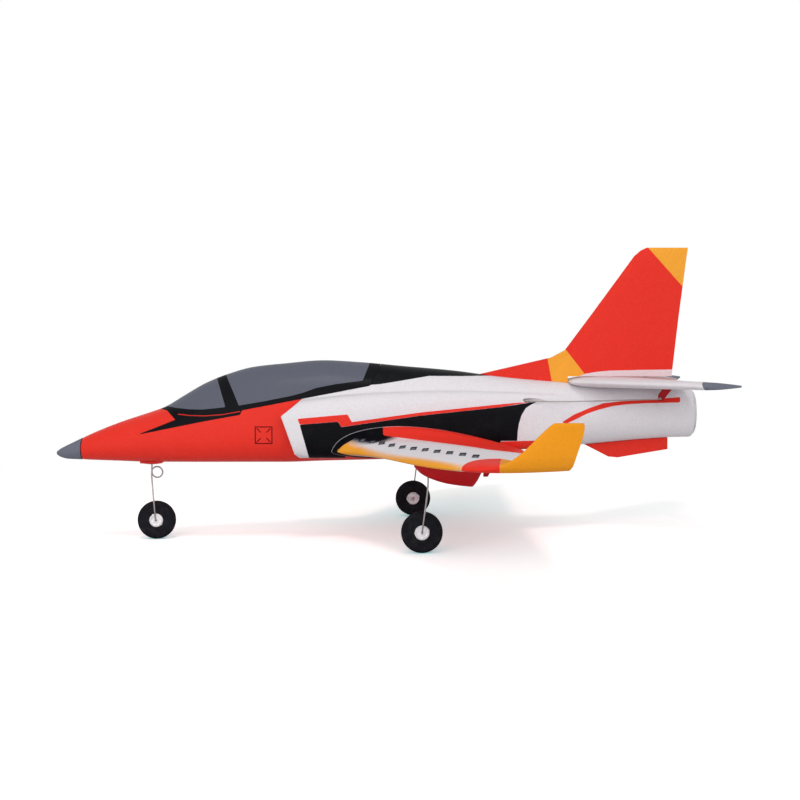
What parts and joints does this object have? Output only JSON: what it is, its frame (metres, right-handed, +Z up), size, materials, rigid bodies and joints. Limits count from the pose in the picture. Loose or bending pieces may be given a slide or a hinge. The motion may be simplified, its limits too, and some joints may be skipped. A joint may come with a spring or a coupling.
{
  "type": "rc jet plane",
  "caption": "Small radio-controlled foam jet with low upturned wings, cheek intakes, ducted fan, lift-off canopy hatch, moving tail and wing surfaces and fixed wire undercarriage.",
  "frame": {"origin": "under the middle of the bounding box, on the plane that the three wheels stand on", "axes": "+Z up, nose towards -X, +Y to the aircraft's right; the airframe sits 1.2 degrees nose-up on its wheels"},
  "size_m": [0.6522, 0.6592, 0.2798],
  "materials": {
    "red_foam": "painted moulded bead foam, satin",
    "white_foam": "bare moulded bead foam, satin",
    "grey_foam": "painted moulded foam, satin",
    "glazing": "painted canopy, smooth satin",
    "magnet_steel": "nickel plated",
    "black_plastic": "moulded",
    "motor_metal": "machined",
    "rotor_plastic": "moulded",
    "steel": "drawn spring wire",
    "tube_film": "rolled film",
    "white_plastic": "moulded",
    "red_plastic": "moulded",
    "pod_red": "painted foam, satin",
    "tyre_foam": "closed-cell foam, matt",
    "blue_plastic": "moulded",
    "carbon": "drawn tube",
    "plywood": "sanded thin plywood",
    "strap_web": "hook-and-loop webbing"
  },
  "bodies": {
    "airframe": {"fuselage_left": "red_foam", "fuselage_right": "red_foam", "nose_cone": "grey_foam", "fuselage_magnet": "magnet_steel", "fan_housing": "black_plastic", "fan_motor": "motor_metal", "exhaust_tube": "tube_film", "wing_left": "white_foam", "wing_right": "white_foam", "aileron_servo_left": "black_plastic", "aileron_servo_right": "black_plastic", "wing_pod_left": "pod_red", "wing_pod_right": "pod_red", "main_leg_left": "steel", "main_leg_right": "steel", "left_wheel_cap": "white_plastic", "right_wheel_cap": "white_plastic", "tailplane": "white_foam", "elevator_servo": "blue_plastic", "fin": "red_foam", "ventral_fin": "red_foam", "nose_gear_mount": "red_plastic", "steering_servo": "blue_plastic", "battery_tray": "plywood", "battery": "blue_plastic", "battery_strap": "strap_web", "speed_controller": "black_plastic", "receiver": "black_plastic", "wing_spar": "carbon"},
    "hatch": {"canopy_hatch": "glazing", "hatch_magnet": "magnet_steel"},
    "left_aileron": {"aileron_left": "white_foam", "aileron_horn_left": "red_plastic"},
    "left_aileron_arm": {"aileron_servo_arm_left": "white_plastic"},
    "left_aileron_rod": {"aileron_pushrod_left": "steel"},
    "right_aileron": {"aileron_right": "white_foam", "aileron_horn_right": "red_plastic"},
    "right_aileron_arm": {"aileron_servo_arm_right": "white_plastic"},
    "right_aileron_rod": {"aileron_pushrod_right": "steel"},
    "left_elevator": {"elevator_left": "white_foam", "elevator_horn_left": "red_plastic"},
    "right_elevator": {"elevator_right": "white_foam", "elevator_horn_right": "red_plastic"},
    "elevator_arm": {"elevator_servo_arm": "white_plastic"},
    "left_elevator_rod": {"elevator_pushrod_left": "steel"},
    "right_elevator_rod": {"elevator_pushrod_right": "steel"},
    "steered_leg": {"nose_leg": "steel", "steering_arm": "white_plastic", "nose_wheel_cap": "white_plastic"},
    "steering_arm_on_servo": {"steering_servo_arm": "white_plastic"},
    "steering_rod": {"steering_pushrod": "steel"},
    "nose_wheel": {"nose_tyre": "tyre_foam", "nose_hub": "white_plastic"},
    "left_wheel": {"left_tyre": "tyre_foam", "left_hub": "white_plastic"},
    "right_wheel": {"right_tyre": "tyre_foam", "right_hub": "white_plastic"},
    "rotor": {"fan_rotor": "rotor_plastic", "motor_shaft": "steel"}
  },
  "joints": [
    {"name": "hatch_lift", "type": "slide", "parent": "airframe", "child": "hatch", "axis": [0.0211, 0, 0.9998], "range_m": [0, 0.06]},
    {"name": "aileron_left_hinge", "type": "hinge", "parent": "airframe", "child": "left_aileron", "pos_m": [0.09031, -0.137, 0.08908], "axis": [-0.1466, 0.989, -0.0194], "range_deg": [-20, 20]},
    {"name": "aileron_left_servo_turn", "type": "hinge", "parent": "airframe", "child": "left_aileron_arm", "pos_m": [0.06008, -0.14164, 0.08072], "axis": [-0.1466, 0.989, -0.0194], "range_deg": [-20, 20]},
    {"name": "aileron_left_rod_turn", "type": "hinge", "parent": "left_aileron_arm", "child": "left_aileron_rod", "pos_m": [0.05987, -0.14191, 0.06872], "axis": [-0.1466, 0.989, -0.0194], "range_deg": [-20, 20]},
    {"name": "aileron_right_hinge", "type": "hinge", "parent": "airframe", "child": "right_aileron", "pos_m": [0.09031, 0.137, 0.08908], "axis": [0.1466, 0.989, 0.0194], "range_deg": [-20, 20]},
    {"name": "aileron_right_servo_turn", "type": "hinge", "parent": "airframe", "child": "right_aileron_arm", "pos_m": [0.06008, 0.14164, 0.08072], "axis": [0.1466, 0.989, 0.0194], "range_deg": [-20, 20]},
    {"name": "aileron_right_rod_turn", "type": "hinge", "parent": "right_aileron_arm", "child": "right_aileron_rod", "pos_m": [0.05987, 0.14191, 0.06872], "axis": [0.1466, 0.989, 0.0194], "range_deg": [-20, 20]},
    {"name": "elevator_left_hinge", "type": "hinge", "parent": "airframe", "child": "left_elevator", "pos_m": [0.27105, -0.035, 0.14616], "axis": [-0.3083, 0.9513, 0.0065], "range_deg": [-18, 18]},
    {"name": "elevator_right_hinge", "type": "hinge", "parent": "airframe", "child": "right_elevator", "pos_m": [0.27105, 0.035, 0.14616], "axis": [0.3083, 0.9513, -0.0065], "range_deg": [-18, 18]},
    {"name": "elevator_servo_turn", "type": "hinge", "parent": "airframe", "child": "elevator_arm", "pos_m": [0.00542, 0, 0.15428], "axis": [0, 1, 0], "range_deg": [-18, 18]},
    {"name": "elevator_left_rod_turn", "type": "hinge", "parent": "elevator_arm", "child": "left_elevator_rod", "pos_m": [0.0051, 0, 0.13925], "axis": [0, 1, 0], "range_deg": [-18, 18]},
    {"name": "elevator_right_rod_turn", "type": "hinge", "parent": "elevator_arm", "child": "right_elevator_rod", "pos_m": [0.0051, 0, 0.13925], "axis": [0, 1, 0], "range_deg": [-18, 18]},
    {"name": "nose_steering", "type": "hinge", "parent": "airframe", "child": "steered_leg", "pos_m": [-0.23299, 0, 0.01909], "axis": [0.0211, 0, 0.9998], "range_deg": [-20, 20]},
    {"name": "steering_servo_turn", "type": "hinge", "parent": "airframe", "child": "steering_arm_on_servo", "pos_m": [-0.20005, 0, 0.08711], "axis": [0.0211, 0, 0.9998], "range_deg": [-20, 20]},
    {"name": "steering_rod_turn", "type": "hinge", "parent": "steering_arm_on_servo", "child": "steering_rod", "pos_m": [-0.20005, 0.01, 0.08711], "axis": [0.0211, 0, 0.9998], "range_deg": [-20, 20]},
    {"name": "nose_wheel_spin", "type": "hinge", "parent": "steered_leg", "child": "nose_wheel", "pos_m": [-0.22849, 0, 0.019], "axis": [0, 1, 0], "continuous": true},
    {"name": "left_wheel_spin", "type": "hinge", "parent": "airframe", "child": "left_wheel", "pos_m": [0.03156, -0.13, 0.019], "axis": [0, 1, 0], "continuous": true},
    {"name": "right_wheel_spin", "type": "hinge", "parent": "airframe", "child": "right_wheel", "pos_m": [0.03156, 0.13, 0.019], "axis": [0, 1, 0], "continuous": true},
    {"name": "rotor_spin", "type": "hinge", "parent": "airframe", "child": "rotor", "pos_m": [0.0667, 0, 0.11947], "axis": [0.9998, 0, -0.0211], "continuous": true}
  ],
  "couplings": [
    {"joint": "aileron_left_servo_turn", "follows": "aileron_left_hinge", "ratio": 1},
    {"joint": "aileron_left_rod_turn", "follows": "aileron_left_hinge", "ratio": -1},
    {"joint": "aileron_right_hinge", "follows": "aileron_left_hinge", "ratio": -1},
    {"joint": "aileron_right_servo_turn", "follows": "aileron_left_hinge", "ratio": -1},
    {"joint": "aileron_right_rod_turn", "follows": "aileron_left_hinge", "ratio": 1},
    {"joint": "elevator_right_hinge", "follows": "elevator_left_hinge", "ratio": 1},
    {"joint": "elevator_servo_turn", "follows": "elevator_left_hinge", "ratio": 1},
    {"joint": "elevator_left_rod_turn", "follows": "elevator_left_hinge", "ratio": -1},
    {"joint": "elevator_right_rod_turn", "follows": "elevator_left_hinge", "ratio": -1},
    {"joint": "steering_servo_turn", "follows": "nose_steering", "ratio": 1},
    {"joint": "steering_rod_turn", "follows": "nose_steering", "ratio": -1}
  ]
}
